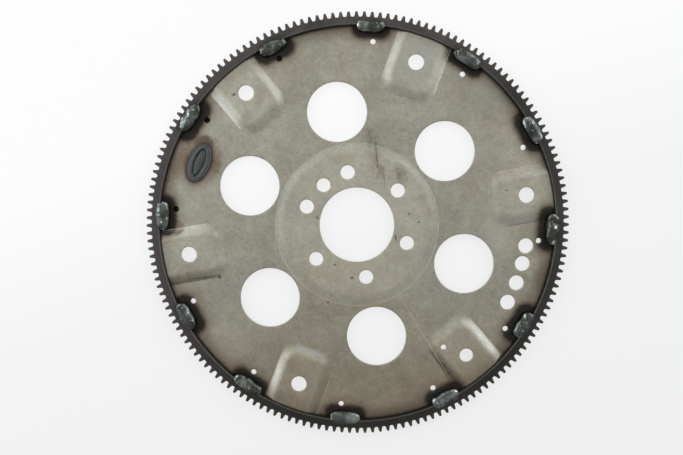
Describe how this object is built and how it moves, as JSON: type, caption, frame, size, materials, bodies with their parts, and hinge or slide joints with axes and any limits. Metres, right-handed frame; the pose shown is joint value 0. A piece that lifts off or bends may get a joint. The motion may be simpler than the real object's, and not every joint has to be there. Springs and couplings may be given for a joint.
{
  "type": "flexplate",
  "caption": "Pressed steel flexplate with raised converter pads, lightening holes, a pilot bore and a starter ring gear welded round its rim.",
  "frame": {"origin": "centre of the pilot bore, on the plane of the ring gear's engine side, which is the lowest plane as it lies", "axes": "+Z along the bore axis towards the converter side, +X through the pad with the tight bolt hole"},
  "size_m": [0.3582, 0.3582, 0.0124],
  "materials": {
    "plate_steel": "satin, bare warm grey pressed steel with heat tint near the welds",
    "ring_steel": "dark brown-grey heat-treated steel",
    "weld_metal": "dark teal-grey weld bead with glints",
    "balance_steel": "blue-grey fused steel"
  },
  "bodies": {
    "root": {"drive_plate": "plate_steel", "ring_gear": "ring_steel", "balance_weld": "balance_steel", "counterweight": "plate_steel", "ring_weld_1": "weld_metal", "ring_weld_2": "weld_metal", "ring_weld_3": "weld_metal", "ring_weld_4": "weld_metal", "ring_weld_5": "weld_metal", "ring_weld_6": "weld_metal", "ring_weld_7": "weld_metal", "ring_weld_8": "weld_metal", "ring_weld_9": "weld_metal", "ring_weld_10": "weld_metal", "ring_weld_11": "weld_metal", "ring_weld_12": "weld_metal"}
  },
  "joints": []
}
